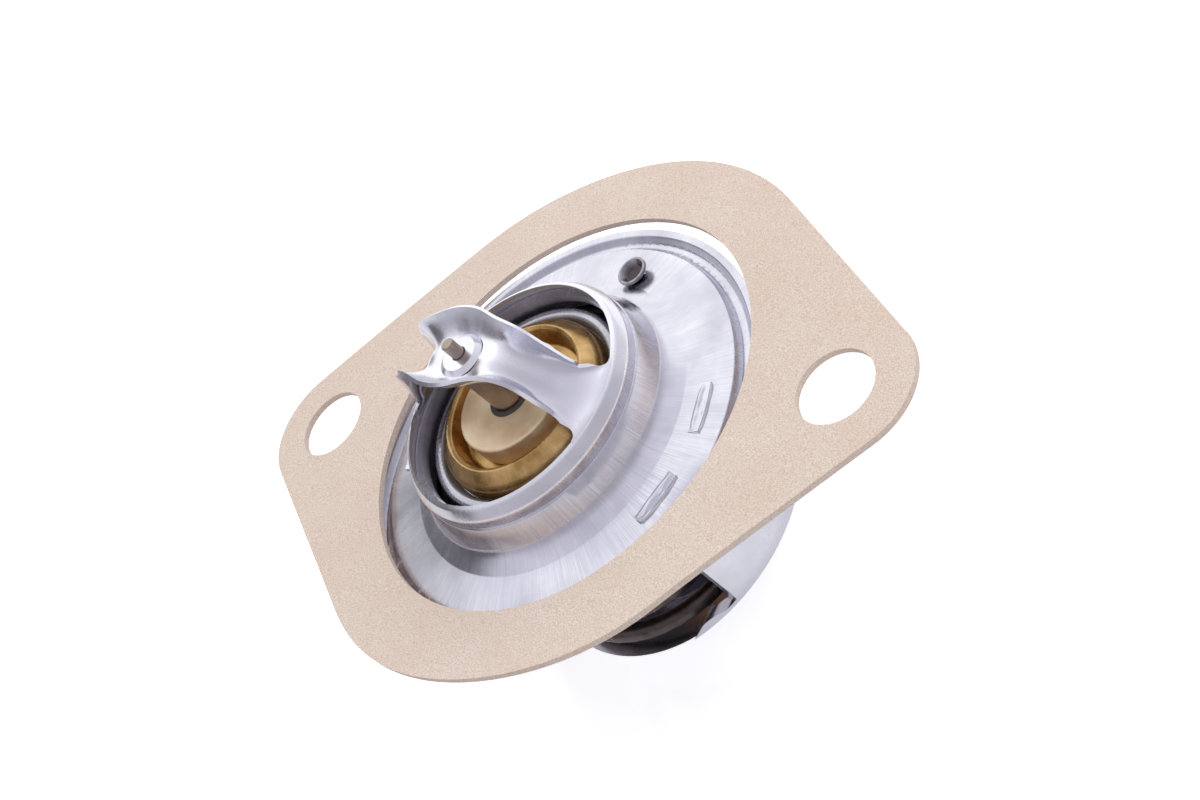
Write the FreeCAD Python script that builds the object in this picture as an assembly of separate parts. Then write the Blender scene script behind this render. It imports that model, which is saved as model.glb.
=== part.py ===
import FreeCAD, Part
import math
import os

# Wax thermostat of an engine's cooling circuit, with its paper gasket, in millimetres.
# +Z is the valve axis and points to the piston's tip. Z = 0 is the plane in which the gasket
# lies on the rim of the flange. +X runs through the two bolt holes of the gasket.

# Sheet metal
flange_sheet = 1.0
bridge_sheet = 0.5
cage_sheet = 0.9
valve_sheet = 0.9
touch = 0.02

# Piston and its seals
stem_r = 2.1
stem_foot_h = -7.0
stem_fit = 0.05
tip_r = 0.78
tip_reach = 2.5
lip_ring_width = 0.65
lip_ring_h = 0.8
lip_proud = 0.25
boot_wall = 1.1
boot_toe = 2.5
boot_flange_h = 1.0
guide_foot_h = 2.2

# Wax cup, the brass hub round it, and the guide pressed into it
cup_r = 6.9
cup_wall = 0.7
cup_bottom_round = 1.4
cup_entry = 2.1
bead_size = 1.1
clamp_fit = 0.03
hub_foot_h = 4.45
hub_rise = 3.5
hub_width = 4.2
hub_top_width = 2.2
recess_rise = 0.95
face_rise = 2.9
face_lap = 0.15

# Valve plate and its rubber seal, from the hub outwards
hub_gap = 0.2
crest_width = 1.6
crest_rise = 1.45
crest_lean = 0.8
land_width = 1.2
plate_flat_h = -0.1
seal_width = 2.2
seal_crown = 1.0
seat_gap = 0.12
plate_edge = 0.4

# Flange, pressed from one disc, from its opening outwards
opening_gap = 0.7
shoulder_width = 0.65
wall_lean = 1.1
flare_width = 2.25
ring_width = 5.45
channel_in_width = 0.55
channel_floor_width = 0.9
channel_out_width = 0.6
channel_depth = 0.8
rim_land = 0.9
step_h = 0.45
crease_rise = 0.95
flare_rise = 1.05
wall_rise = 3.55
collar_rise = 0.95

# Bridge over the valve
bridge_turn = -8.0
bridge_fit = 0.08
skirt_h = 1.3
dome_rise = 1.6
dome_width = 1.25
platform_rise = 7.7
strap_half = 3.5
strap_lip = 2.3
window_turn = 24.0
window_flare = 0.4
window_bend = 3.0
window_round = 0.9
blend_width = 2.5
blend_rise = 1.7
crown_lean = 0.75
crown_drop = 0.35
dimple_h = 0.47
dimple_rim = 0.05
dimple_slope = 0.65
pin_hole_gap = 0.12

# Return spring
wire_r = 1.1
spring_margin = 1.5
spring_turns = 5.5
spring_play = 0.05
spots_per_turn = 8

# Lower frame: a drawn cup below the flange
cage_turn = -11.5
cage_inset = 2.55
leg_spread = 17.0
leg_top_spread = 23.0
leg_flare_h = -5.0
leg_flare_round = 3.0
tab_spread = 15.0
tab_width = 5.6
tab_fit = 0.06
stake_width = 0.22
stake_h = 0.1
base_h = -26.4
boss_h = 4.1
boss_width = 4.23
boss_lean = 0.8
guide_gap = 0.07
guide_rise = 10.2
ledge_margin = 0.3
haunch_rise = 4.9
haunch_round = 4.5
window_foot_rise = 0.4
window_foot_width = 1.4
window_foot_round = 1.6
window_corner_rise = 5.1
window_corner_r = 1.5
notch_width = 1.75
hump_width = 0.8
hump_rise = 1.4
hump_round = 0.8
window_slope_round = 1.2
window_slope_inset = 1.4
window_slope_rise = 3.9
bend_r = 0.8
foot_bend = 0.5

# Vent valve
vent_turn = 75.0
vent_inset = 3.85
vent_hole_r = 1.15
vent_shank_r = 0.8
vent_head_r = 1.85
vent_head_h = 0.75
vent_head_wall = 0.3
vent_bore_r = 1.05
vent_bore_h = 0.6
vent_flare_h = 0.4
vent_bob_r = 1.8
vent_bob_h = 2.4
vent_lift = 1.5

# Gasket of pressed paper; it has slipped towards +Y and bears on the flange's raised ring
gasket_sheet = 0.8
gasket_lap = 1.25
gasket_slip = 2.7
gasket_waist = 8.65
gasket_end_r = 8.9
bolt_spacing = 75.0
bolt_hole_r = 4.55

# What follows from the sizes above: the cup, the hub and the guide
axis = FreeCAD.Vector(0, 0, 1)
origin = FreeCAD.Vector(0, 0, 0)
lip_ring_r = stem_r + lip_ring_width
boot_foot_h = stem_foot_h - boot_toe
hub_r = cup_r + hub_width
hub_top_r = cup_r + hub_top_width
hub_top_h = hub_foot_h + hub_rise
recess_h = hub_foot_h + recess_rise
face_r = cup_r + face_lap
face_h = recess_h + face_rise

# The valve plate and its seal
plate_crest_r = hub_r + hub_gap + crest_width
plate_crest_h = hub_foot_h + crest_rise
plate_wall_r = plate_crest_r + crest_lean
plate_under_h = plate_flat_h - valve_sheet
seal_in_r = plate_wall_r + land_width
seal_crown_r = seal_in_r + seal_crown
seal_out_r = seal_in_r + seal_width
plate_r = seal_out_r + plate_edge

# The flange
collar_r = plate_crest_r + opening_gap + flange_sheet
shoulder_r = collar_r + shoulder_width
flare_r = shoulder_r + wall_lean
crease_r = flare_r + flare_width
step_r = crease_r + ring_width
channel_in_r = step_r + channel_in_width
channel_out_r = channel_in_r + channel_floor_width
rim_r = channel_out_r + channel_out_width + rim_land
crease_h = step_h + crease_rise
flare_h = crease_h + flare_rise
shoulder_h = flare_h + wall_rise
collar_h = shoulder_h + collar_rise
ring_slope = crease_rise / ring_width
flare_slope = flare_rise / flare_width

# The bridge and the piston's tip
bridge_r = collar_r + bridge_fit + bridge_sheet
window_r = bridge_r - dome_width
dome_h = shoulder_h + skirt_h + dome_rise
platform_h = dome_h + platform_rise
strap_reach = window_r + bridge_sheet / 2
strap_drop = platform_rise + bridge_sheet / 2
dimple_r = stem_r + dimple_rim
dimple_foot_r = dimple_r + dimple_slope
stem_stop_h = platform_h + dimple_h - bridge_sheet
tip_top_h = platform_h + tip_reach

# The lower frame and the spring that stands in it
spring_r = plate_wall_r + spring_margin
cage_r = step_r - cage_inset
ledge_r = spring_r + wire_r + ledge_margin
ledge_h = base_h + boss_h
ledge_top_h = ledge_h + cage_sheet
haunch_h = ledge_h + haunch_rise
guide_bore_r = cup_r + guide_gap
guide_top_h = base_h + guide_rise
boss_r = guide_bore_r + boss_width
window_foot_r = boss_r + window_foot_width
window_foot_h = ledge_h + window_foot_rise
window_corner_h = ledge_h + window_corner_rise
hump_h = window_corner_h + hump_rise
window_slope_r = ledge_r - window_slope_inset
window_slope_h = ledge_h + window_slope_rise
cup_end_h = guide_top_h - cup_entry

# The vent and the gasket
vent_r = step_r - vent_inset
gasket_hole_r = rim_r - gasket_lap
gasket_waist_r = gasket_hole_r + gasket_waist


def point(r, h):
    return FreeCAD.Vector(r, 0, h)


def path(corners):
    """A line through (radius, height, rounding) corners in the XZ plane, each turn an arc."""
    spots = [point(r, h) for r, h, _ in corners]
    edges = []
    last = spots[0]
    for i in range(1, len(spots) - 1):
        rounding = corners[i][2]
        back = (spots[i - 1] - spots[i]).normalize()
        ahead = (spots[i + 1] - spots[i]).normalize()
        half = back.getAngle(ahead) / 2
        if rounding <= 0 or half > math.pi / 2 - 1e-4:
            edges.append(Part.makeLine(last, spots[i]))
            last = spots[i]
            continue
        start = spots[i] + back * (rounding / math.tan(half))
        end = spots[i] + ahead * (rounding / math.tan(half))
        centre = spots[i] + (back + ahead).normalize() * (rounding / math.sin(half))
        middle = centre + (spots[i] - centre).normalize() * rounding
        if (start - last).Length > 1e-6:
            edges.append(Part.makeLine(last, start))
        edges.append(Part.Arc(start, middle, end).toShape())
        last = end
    edges.append(Part.makeLine(last, spots[-1]))
    return edges


def revolve(face):
    return face.revolve(origin, axis, 360)


def turned(corners):
    """A solid turned from a closed outline of (radius, height, rounding) corners."""
    edges = path(corners + [corners[0]])
    return revolve(Part.Face(Part.Wire(edges)))


def sheet(corners, thickness):
    """A solid of revolution pressed from sheet, with its thickness to one side of the path."""
    face = Part.Wire(path(corners)).makeOffset2D(thickness, 0, True, True, False)
    return revolve(face)


def drum(r, low, high):
    return Part.makeCylinder(r, high - low, point(0, low))


def at_angle(shape, degrees):
    return shape.rotated(origin, axis, degrees)


def keep_whole(shape):
    """The one solid of a finished cut or fuse, with split faces joined again."""
    solids = shape.removeSplitter().Solids
    if len(solids) != 1:
        raise ValueError("a piece has come apart into %d solids" % len(solids))
    return solids[0]


def ring_h(r):
    """Height of the flange's raised ring at one radius."""
    return step_h + (step_r - r) * ring_slope


def ring_under_h(r):
    """Height of the raised ring's lower face."""
    return ring_h(r) - flange_sheet * math.hypot(1, ring_slope)


def flare_under_h(r):
    """Height of the flare's lower face, where the valve's seal closes."""
    return crease_h + (crease_r - r) * flare_slope - flange_sheet * math.hypot(1, flare_slope)


def tab_angles():
    """Where the four tabs of the cage come through the flange."""
    return [cage_turn + side + lean for side in (0, 180) for lean in (-tab_spread, tab_spread)]


def tab_block(grow, low, high):
    """The four tabs as arcs of the cage's wall, with grow added all round."""
    wall = drum(cage_r + grow, low, high).cut(drum(cage_r - cage_sheet - grow, low, high))
    width = tab_width + 2 * grow
    blocks = []
    for angle in tab_angles():
        block = Part.makeBox(2 * cage_r, width, high - low, FreeCAD.Vector(0, -width / 2, low))
        blocks.append(at_angle(block, angle))
    return wall.common(Part.makeCompound(blocks))


def make_flange():
    """Rim, channel, raised ring with slots and vent hole, flare, dome, and collar round the opening."""
    body = sheet([
        (rim_r, 0, 0),
        (rim_r - rim_land, 0, 0.45),
        (channel_out_r, -channel_depth, 0.5),
        (channel_in_r, -channel_depth, 0.5),
        (step_r, step_h, 0.2),
        (crease_r, crease_h, 0.6),
        (flare_r, flare_h, 1.5),
        (shoulder_r, shoulder_h, 0.4),
        (collar_r, shoulder_h, bridge_fit),
        (collar_r, collar_h, 0),
    ], flange_sheet)
    slots = tab_block(tab_fit, -flange_sheet, crease_h + flange_sheet)
    vent_hole = drum(vent_hole_r, -2 * flange_sheet, crease_h + flange_sheet)
    vent_hole.translate(point(vent_r, 0))
    return keep_whole(body.cut(slots).cut(at_angle(vent_hole, vent_turn)))


# Stations of the bridge's strap, from its middle to the ring, as shares: the distance along of
# the reach, the drop of the whole drop, the flat's half width, the lip's rise, and its lean.
strap_stations = [
    (0.0, 0.0, 1.0, 1.0, 0.343),
    (0.17, 0.0, 0.971, 1.0, 0.286),
    (0.312, 0.0125, 0.8, 1.0, 0.229),
    (0.4255, 0.1125, 0.629, 1.2, 0.25),
    (0.539, 0.325, 0.6, 1.05, 0.2),
    (0.6596, 0.575, 0.686, 0.6, 0.12),
    (0.7943, 0.8, 0.8, 0.217, 0.086),
    (0.8865, 0.9125, 1.1, 0.087, 0.086),
    (0.9433, 0.95625, 1.4, 0.0435, 0.057),
    (1.0, 1.0, 1.7, 0.0217, 0.057),
]


def strap_rows():
    """The stations of the whole strap in millimetres, from one end to the other."""
    rows = []
    for along, drop, flat, rise, lean in strap_stations:
        rows.append((along * strap_reach, platform_h - drop * strap_drop, flat * strap_half,
                     rise * strap_lip, lean * strap_half))
    return [(-row[0],) + row[1:] for row in reversed(rows[1:])] + rows


def strap_section(along, height, slope, half_flat, rise, lean):
    """One closed section across the strap: flat in the middle, a lip turned up at each edge."""
    run = FreeCAD.Vector(math.cos(slope), 0, math.sin(slope))
    up = FreeCAD.Vector(-run.z, 0, run.x)
    centre = FreeCAD.Vector(along, 0, height)
    lip_y = half_flat + lean
    top = [(-lip_y, rise), (-half_flat, rise * 0.25), (-half_flat * 0.7, 0), (0, 0),
           (half_flat * 0.7, 0), (half_flat, rise * 0.25), (lip_y, rise)]
    out = bridge_sheet * 0.75
    down = bridge_sheet * 0.45
    bottom = [(lip_y + out, rise - down), (half_flat + out * 0.7, rise * 0.25 - bridge_sheet * 0.8),
              (half_flat * 0.75, -bridge_sheet), (0, -bridge_sheet), (-half_flat * 0.75, -bridge_sheet),
              (-half_flat - out * 0.7, rise * 0.25 - bridge_sheet * 0.8), (-lip_y - out, rise - down)]

    def place(spots):
        return [centre + FreeCAD.Vector(0, y, 0) + up * z for y, z in spots]

    upper = Part.BSplineCurve()
    upper.interpolate(place(top))
    lower = Part.BSplineCurve()
    lower.interpolate(place(bottom))
    right = Part.makeLine(place(top)[-1], place(bottom)[0])
    left = Part.makeLine(place(bottom)[-1], place(top)[0])
    return Part.Wire([upper.toShape(), right, lower.toShape(), left])


def window_prism(low, high):
    """The two windows beside the strap: an arc of the ring, and a waist that follows the strap."""
    turn = math.radians(window_turn)
    corner_y = strap_half + window_flare
    corner_x = (window_r - corner_y * math.sin(turn)) / math.cos(turn)
    side = [
        (strap_reach / 4, strap_half + strap_lip, window_bend),
        (strap_reach / 2, strap_half, window_bend),
        (strap_reach * 3 / 4, strap_half, window_bend),
        (corner_x, corner_y, window_round),
    ]
    other = [(-x, y, rounding) for x, y, rounding in reversed(side)]
    start = (0, strap_half + strap_lip, 0)
    crown = (0, window_r / math.sin(turn), window_r)
    outline = Part.Wire(path([start] + side + [crown] + other + [start]))
    prism = Part.Face(outline).extrude(FreeCAD.Vector(0, high - low, 0))
    prism.rotate(origin, FreeCAD.Vector(1, 0, 0), -90)
    prism.translate(point(0, high))
    return Part.makeCompound([prism, at_angle(prism, 180)])


def make_bridge():
    """Ring pressed over the collar, and a lipped strap that carries the piston."""
    ring = sheet([
        (bridge_r, shoulder_h + touch, 0),
        (bridge_r, shoulder_h + skirt_h, 0.8),
        (bridge_r - crown_lean, dome_h - crown_drop, 0.7),
        (window_r - bridge_sheet / 2, dome_h, 0),
    ], bridge_sheet)
    stations = []
    rows = strap_rows()
    for i, (along, height, half_flat, rise, lean) in enumerate(rows):
        before = rows[max(i - 1, 0)]
        after = rows[min(i + 1, len(rows) - 1)]
        slope = math.atan2(after[1] - before[1], after[0] - before[0])
        stations.append(strap_section(along, height, slope, half_flat, rise, lean))
    strap = Part.makeLoft(stations, True, False)
    inside = drum(window_r + bridge_sheet / 2, dome_h - 2 * bridge_sheet, platform_h + 2 * strap_lip)
    top = platform_h + 2 * strap_lip
    above = turned([
        (window_r - blend_width, dome_h + blend_rise, 0),
        (window_r + blend_width, dome_h - blend_rise, 0),
        (window_r + blend_width, top, 0),
        (window_r - blend_width, top, 0),
    ])
    strap = strap.common(inside).cut(above)
    dimple = Part.makeCone(dimple_foot_r, dimple_r, dimple_h, point(0, platform_h), axis)
    socket = drum(stem_r + pin_hole_gap, platform_h - 2 * bridge_sheet, stem_stop_h)
    tip_hole = drum(tip_r + pin_hole_gap, platform_h - bridge_sheet, platform_h + 2 * dimple_h)
    strap = strap.fuse(dimple).cut(socket).cut(tip_hole)
    windows = window_prism(dome_h - 2 * bridge_sheet, platform_h + 2 * strap_lip)
    return keep_whole(at_angle(ring.fuse(strap).cut(windows), bridge_turn))


def make_lower_frame():
    """A drawn cup with two side windows; its four tabs pass the flange and are staked over it."""
    leg_top_h = ring_under_h(cage_r) - touch
    cup = sheet([
        (cage_r, leg_top_h, 0),
        (cage_r, haunch_h, haunch_round),
        (ledge_r, ledge_h, cage_sheet + bend_r),
        (boss_r + boss_lean, ledge_h, bend_r),
        (boss_r, base_h, cage_sheet + foot_bend),
        (guide_bore_r, base_h, cage_sheet + foot_bend),
        (guide_bore_r, guide_top_h, 0),
    ], -cage_sheet)
    leg_edge = cage_r * math.cos(math.radians(leg_spread))
    leg_top_edge = cage_r * math.cos(math.radians(leg_top_spread))
    half = path([
        (0, window_foot_h, 0),
        (window_foot_r, window_foot_h, window_foot_round),
        (window_slope_r, window_slope_h, window_slope_round),
        (leg_edge - notch_width - hump_width, hump_h, hump_round),
        (leg_edge - notch_width, window_corner_h, 0.2),
        (leg_edge, window_corner_h, window_corner_r),
        (leg_edge, leg_flare_h, leg_flare_round),
        (leg_top_edge, leg_top_h, 0),
    ])
    top = Part.makeLine(point(leg_top_edge, leg_top_h), point(0, leg_top_h))
    middle = Part.makeLine(point(0, leg_top_h), point(0, window_foot_h))
    face = Part.Face(Part.Wire(half + [top, middle]))
    window = face.extrude(FreeCAD.Vector(0, 2 * cage_r, 0))
    for mirrored in (window, window.mirror(origin, FreeCAD.Vector(1, 0, 0))):
        mirrored.translate(FreeCAD.Vector(0, guide_bore_r + cage_sheet + foot_bend, 0))
        for side in (0, 180):
            cup = cup.cut(at_angle(mirrored, side))
    cup = at_angle(cup, cage_turn)
    stake_top_h = ring_h(cage_r - cage_sheet) + stake_h
    tabs = tab_block(0, leg_top_h - touch, stake_top_h)
    inner = cage_r - 2 * cage_sheet
    outer = cage_r + cage_sheet
    below = turned([
        (inner, -flange_sheet, 0),
        (outer, -flange_sheet, 0),
        (outer, ring_h(outer) + touch, 0),
        (inner, ring_h(inner) + touch, 0),
    ])
    stakes = tab_block(stake_width, 0, stake_top_h).cut(below)
    return keep_whole(cup.fuse(tabs).fuse(stakes))


def make_valve_plate():
    """The moving disc: clamped round the cup, a rounded crest, and a flat land for the seal."""
    clamp_under_h = hub_foot_h - valve_sheet
    return turned([
        (cup_r + clamp_fit, clamp_under_h, 0),
        (cup_r + clamp_fit, hub_foot_h, 0),
        (hub_r + hub_gap, hub_foot_h, 0.2),
        (hub_r + hub_gap + 0.3, plate_crest_h, 0.5),
        (plate_crest_r, plate_crest_h, 0.7),
        (plate_wall_r, plate_flat_h, 0.6),
        (plate_r, plate_flat_h, 0.2),
        (plate_r, plate_under_h, 0.2),
        (plate_wall_r - valve_sheet, plate_under_h, 1.2),
        (plate_crest_r - valve_sheet, clamp_under_h, 0.8),
    ])


def make_valve_seal():
    """Rubber ring bonded to the disc; its sloping top closes on the flare's lower face."""
    return turned([
        (seal_in_r, plate_flat_h, 0),
        (seal_in_r, flare_under_h(seal_crown_r) - seat_gap - 0.4, 0.3),
        (seal_crown_r, flare_under_h(seal_crown_r) - seat_gap, 0.4),
        (seal_out_r, flare_under_h(seal_out_r) - seat_gap, 0.2),
        (seal_out_r, plate_flat_h, 0),
    ])


def make_hub():
    """Brass ring with a domed outside and a deep recess round the guide."""
    return turned([
        (cup_r + clamp_fit, hub_foot_h, 0),
        (hub_r - 0.35, hub_foot_h, 0),
        (hub_r, hub_foot_h + 0.6, 0.4),
        (hub_r - 0.25, hub_top_h - 1.3, 1.4),
        (hub_top_r + 0.15, hub_top_h, 0.25),
        (hub_top_r - 0.35, hub_top_h - 0.25, 0.2),
        (face_r + 1.1, recess_h, 0.4),
        (cup_r + clamp_fit, recess_h, 0),
    ])


def make_cup():
    """Deep drawn brass cup for the wax, with a rolled bead under the valve plate."""
    bead_top = hub_foot_h - valve_sheet
    return turned([
        (0, cup_end_h, 0),
        (cup_r, cup_end_h, cup_bottom_round),
        (cup_r, bead_top - 1.3, 0.3),
        (cup_r + bead_size, bead_top - 0.9, 0.35),
        (cup_r + bead_size, bead_top, 0.35),
        (cup_r, bead_top, 0),
        (cup_r, recess_h, 0),
        (cup_r - cup_wall, recess_h, 0),
        (cup_r - cup_wall, cup_end_h + cup_wall, cup_bottom_round - cup_wall),
        (0, cup_end_h + cup_wall, 0),
    ])


def make_guide():
    """Turned brass guide: a flat face with a seal pocket, a bore for the stem, a plug in the cup."""
    bore = stem_r + stem_fit
    return turned([
        (bore, guide_foot_h, 0),
        (cup_r - cup_wall, guide_foot_h, 0),
        (cup_r - cup_wall, recess_h, 0),
        (face_r, recess_h, 0.2),
        (face_r, face_h, 0.3),
        (lip_ring_r, face_h, 0),
        (lip_ring_r, face_h - lip_ring_h, 0),
        (bore, face_h - lip_ring_h, 0),
    ])


def make_lip_ring():
    """Small rubber ring that wipes the stem where it enters the guide."""
    bore = stem_r + stem_fit
    return turned([
        (bore, face_h - lip_ring_h, 0),
        (lip_ring_r, face_h - lip_ring_h, 0),
        (lip_ring_r, face_h, 0),
        (bore + 0.25, face_h + lip_proud, 0.1),
        (bore, face_h + lip_proud, 0),
    ])


def make_boot():
    """Rubber sleeve round the stem's foot, closed below, with a flange under the guide."""
    bore = stem_r + stem_fit
    return turned([
        (0, boot_foot_h, 0),
        (bore + boot_wall, boot_foot_h, 1.2),
        (bore + boot_wall, guide_foot_h - boot_flange_h, 0.5),
        (cup_r - cup_wall, guide_foot_h - boot_flange_h, 0),
        (cup_r - cup_wall, guide_foot_h, 0),
        (bore, guide_foot_h, 0),
        (bore, boot_foot_h + boot_wall, 0.6),
        (0, boot_foot_h + boot_wall, 0),
    ])


def make_wax(boot):
    """The wax that fills the cup below and round the boot."""
    low = cup_end_h + cup_wall
    high = guide_foot_h - boot_flange_h
    inner = cup_r - cup_wall
    block = turned([
        (0, low, 0),
        (inner, low, cup_bottom_round - cup_wall),
        (inner, high, 0),
        (0, high, 0),
    ])
    return keep_whole(block.cut(boot).cut(drum(stem_r + stem_fit, boot_foot_h, high + 1)))


def make_piston():
    """Hardened stem with a thin tip that passes the bridge; its shoulder bears in the dimple."""
    return turned([
        (0, stem_foot_h, 0),
        (stem_r, stem_foot_h, 0.4),
        (stem_r, stem_stop_h - touch, 0.25),
        (tip_r, stem_stop_h - touch, 0),
        (tip_r, tip_top_h, 0.2),
        (0, tip_top_h, 0),
    ])


def make_spring():
    """Return spring from the lower frame's ledge to the valve plate, closed coil at each end."""
    low = ledge_top_h + wire_r + spring_play
    high = plate_under_h - wire_r - spring_play
    end_rise = 2 * wire_r * 1.02
    open_turns = spring_turns - 2
    spots = []
    for i in range(int(spring_turns * spots_per_turn) + 1):
        turn = i / spots_per_turn
        if turn < 1:
            height = low + end_rise * turn * turn / 2
        elif turn > spring_turns - 1:
            left = spring_turns - turn
            height = high - end_rise * left * left / 2
        else:
            height = low + end_rise / 2 + (high - low - end_rise) * (turn - 1) / open_turns
        angle = 2 * math.pi * turn
        spots.append(FreeCAD.Vector(spring_r * math.cos(angle), spring_r * math.sin(angle), height))
    curve = Part.BSplineCurve()
    curve.interpolate(spots)
    start = curve.parameter(spots[0])
    section = Part.Circle(spots[0], curve.tangent(start)[0], wire_r)
    wire = Part.Wire(curve.toShape())
    return wire.makePipeShell([Part.Wire(section.toShape())], True, True)


def at_vent(shape):
    shape.translate(point(vent_r, 0))
    return at_angle(shape, vent_turn)


def bob_top_h():
    """Top of the bob: when it has risen by the vent's lift it is just short of the flange."""
    return ring_under_h(vent_r) - vent_lift - 5 * touch


def make_vent_pin():
    """Loose pin with a flared tubular head that hangs in its hole and lets air past."""
    seat = ring_h(vent_r - vent_head_r) + touch
    top = seat + vent_head_h
    foot = bob_top_h() - vent_bob_h
    return at_vent(turned([
        (0, foot, 0),
        (vent_shank_r, foot, 0),
        (vent_shank_r, seat, 0),
        (vent_hole_r + vent_head_wall, seat, 0.1),
        (vent_head_r, seat + vent_flare_h, 0.1),
        (vent_head_r, top, 0.1),
        (vent_head_r - vent_head_wall, top, 0.1),
        (vent_bore_r, top - vent_bore_h, 0.1),
        (0, top - vent_bore_h, 0),
    ]))


def make_vent_bob():
    """Weight on the pin's lower end; it lifts and shuts the hole when coolant flows."""
    top = bob_top_h()
    foot = top - vent_bob_h
    return at_vent(turned([
        (vent_shank_r, foot, 0),
        (vent_bob_r * 0.8, foot, 0.3),
        (vent_bob_r, foot + 0.45 * vent_bob_h, 0.5),
        (vent_hole_r - 0.1, top, 0.1),
        (vent_shank_r, top, 0),
    ]))


def make_gasket():
    """Flat paper gasket: a round waist joined by straight sides to an ear at each bolt."""
    ear_x = bolt_spacing / 2
    lean = math.acos((gasket_waist_r - gasket_end_r) / ear_x)

    def spot(centre_x, r, angle):
        return FreeCAD.Vector(centre_x + r * math.cos(angle), r * math.sin(angle), 0)

    edges = []
    for turn in (0, math.pi):
        x = ear_x * math.cos(turn)
        low = spot(x, gasket_end_r, turn - lean)
        high = spot(x, gasket_end_r, turn + lean)
        edges.append(Part.Arc(low, spot(x, gasket_end_r, turn), high).toShape())
        side = spot(0, gasket_waist_r, turn + lean)
        edges.append(Part.makeLine(high, side))
        far = spot(0, gasket_waist_r, turn + math.pi - lean)
        edges.append(Part.Arc(side, spot(0, gasket_waist_r, turn + math.pi / 2), far).toShape())
        edges.append(Part.makeLine(far, spot(-x, gasket_end_r, turn + math.pi - lean)))
    plate = Part.Face(Part.Wire(Part.__sortEdges__(edges))).extrude(point(0, gasket_sheet))
    plate = plate.cut(drum(gasket_hole_r, -gasket_sheet, 2 * gasket_sheet))
    for x in (-ear_x, ear_x):
        hole = drum(bolt_hole_r, -gasket_sheet, 2 * gasket_sheet)
        hole.translate(point(x, 0))
        plate = plate.cut(hole)
    lower_face_h = ring_h(gasket_hole_r - gasket_slip) + touch
    plate.translate(FreeCAD.Vector(0, gasket_slip, lower_face_h))
    return keep_whole(plate)


def save(name, shape):
    """Write one piece as its own STEP file."""
    shape.exportStep("parts/%s.step" % name)
    print("%-12s volume %8.1f mm3, faces %3d, valid %s"
          % (name, shape.Volume, len(shape.Faces), shape.isValid()))


os.makedirs("parts", exist_ok=True)
boot = make_boot()
save("flange", make_flange())
save("bridge", make_bridge())
save("lower_frame", make_lower_frame())
save("valve_plate", make_valve_plate())
save("valve_seal", make_valve_seal())
save("valve_hub", make_hub())
save("wax_cup", make_cup())
save("piston_guide", make_guide())
save("lip_ring", make_lip_ring())
save("rubber_boot", boot)
save("wax_charge", make_wax(boot))
save("piston", make_piston())
save("main_spring", make_spring())
save("vent_pin", make_vent_pin())
save("vent_bob", make_vent_bob())
save("gasket", make_gasket())
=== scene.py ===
# %% [markdown]
# # An engine thermostat and its paper gasket
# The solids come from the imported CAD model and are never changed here. This notebook gives
# them the surfaces of the real parts: pressed stainless steel, turned brass, drawn wire,
# moulded rubber and pressed paper. Everything is in metres, in the CAD's own frame.

import math
import random

import bmesh
import bpy
from mathutils import Matrix, Vector, noise


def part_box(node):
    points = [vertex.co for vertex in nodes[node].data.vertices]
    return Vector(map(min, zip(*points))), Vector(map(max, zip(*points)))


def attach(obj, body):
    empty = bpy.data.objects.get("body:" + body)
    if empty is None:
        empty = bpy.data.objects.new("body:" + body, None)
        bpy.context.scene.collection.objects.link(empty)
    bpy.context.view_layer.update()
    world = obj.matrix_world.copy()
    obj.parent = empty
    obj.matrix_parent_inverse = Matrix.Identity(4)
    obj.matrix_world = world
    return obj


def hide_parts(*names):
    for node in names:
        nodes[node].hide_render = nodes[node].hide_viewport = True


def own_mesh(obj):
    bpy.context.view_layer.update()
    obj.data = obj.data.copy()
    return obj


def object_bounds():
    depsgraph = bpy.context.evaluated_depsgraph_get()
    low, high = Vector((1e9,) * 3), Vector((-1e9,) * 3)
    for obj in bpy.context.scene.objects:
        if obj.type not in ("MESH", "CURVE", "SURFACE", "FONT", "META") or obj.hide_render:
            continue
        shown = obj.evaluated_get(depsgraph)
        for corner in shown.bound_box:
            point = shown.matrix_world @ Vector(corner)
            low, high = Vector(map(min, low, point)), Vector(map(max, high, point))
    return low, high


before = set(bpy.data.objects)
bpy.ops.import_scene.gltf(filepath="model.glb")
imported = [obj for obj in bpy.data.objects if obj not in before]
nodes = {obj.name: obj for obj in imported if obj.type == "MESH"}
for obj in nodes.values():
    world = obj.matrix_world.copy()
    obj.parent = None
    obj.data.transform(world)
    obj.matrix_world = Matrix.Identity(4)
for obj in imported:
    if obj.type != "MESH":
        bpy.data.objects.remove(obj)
cad_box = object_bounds()
mm = 0.001
print("nodes:", sorted(nodes))
print("box:", cad_box)

# %% [markdown]
# ## Helpers for every material
# Colours are picked from the real finish as sRGB hex values, the way a paint chart gives
# them, but the shader wants linear light, so one function turns them. A second function adds
# one shader node with its settings and links, which keeps each recipe short enough to read.

# %% Colour and node helpers
def linear(code, strength=1.0):
    """Turn '#rrggbb' into linear RGBA."""
    channels = [int(code[i:i + 2], 16) / 255 for i in (1, 3, 5)]
    bright = [c / 12.92 if c <= 0.04045 else ((c + 0.055) / 1.055) ** 2.4 for c in channels]
    return tuple(c * strength for c in bright) + (1.0,)


def add_node(tree, kind, inputs=None, **settings):
    """Add one node; inputs maps a socket's name or index to a value or to another output."""
    node = tree.nodes.new(kind)
    for name, value in settings.items():
        setattr(node, name, value)
    for key, value in (inputs or {}).items():
        socket = node.inputs[key]
        if isinstance(value, bpy.types.NodeSocket):
            tree.links.new(value, socket)
        else:
            socket.default_value = value
    return node


def new_material(name):
    """A fresh material with no nodes; returns the material and its tree."""
    material = bpy.data.materials.new(name)
    material.use_nodes = True
    material.node_tree.nodes.clear()
    return material, material.node_tree


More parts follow.
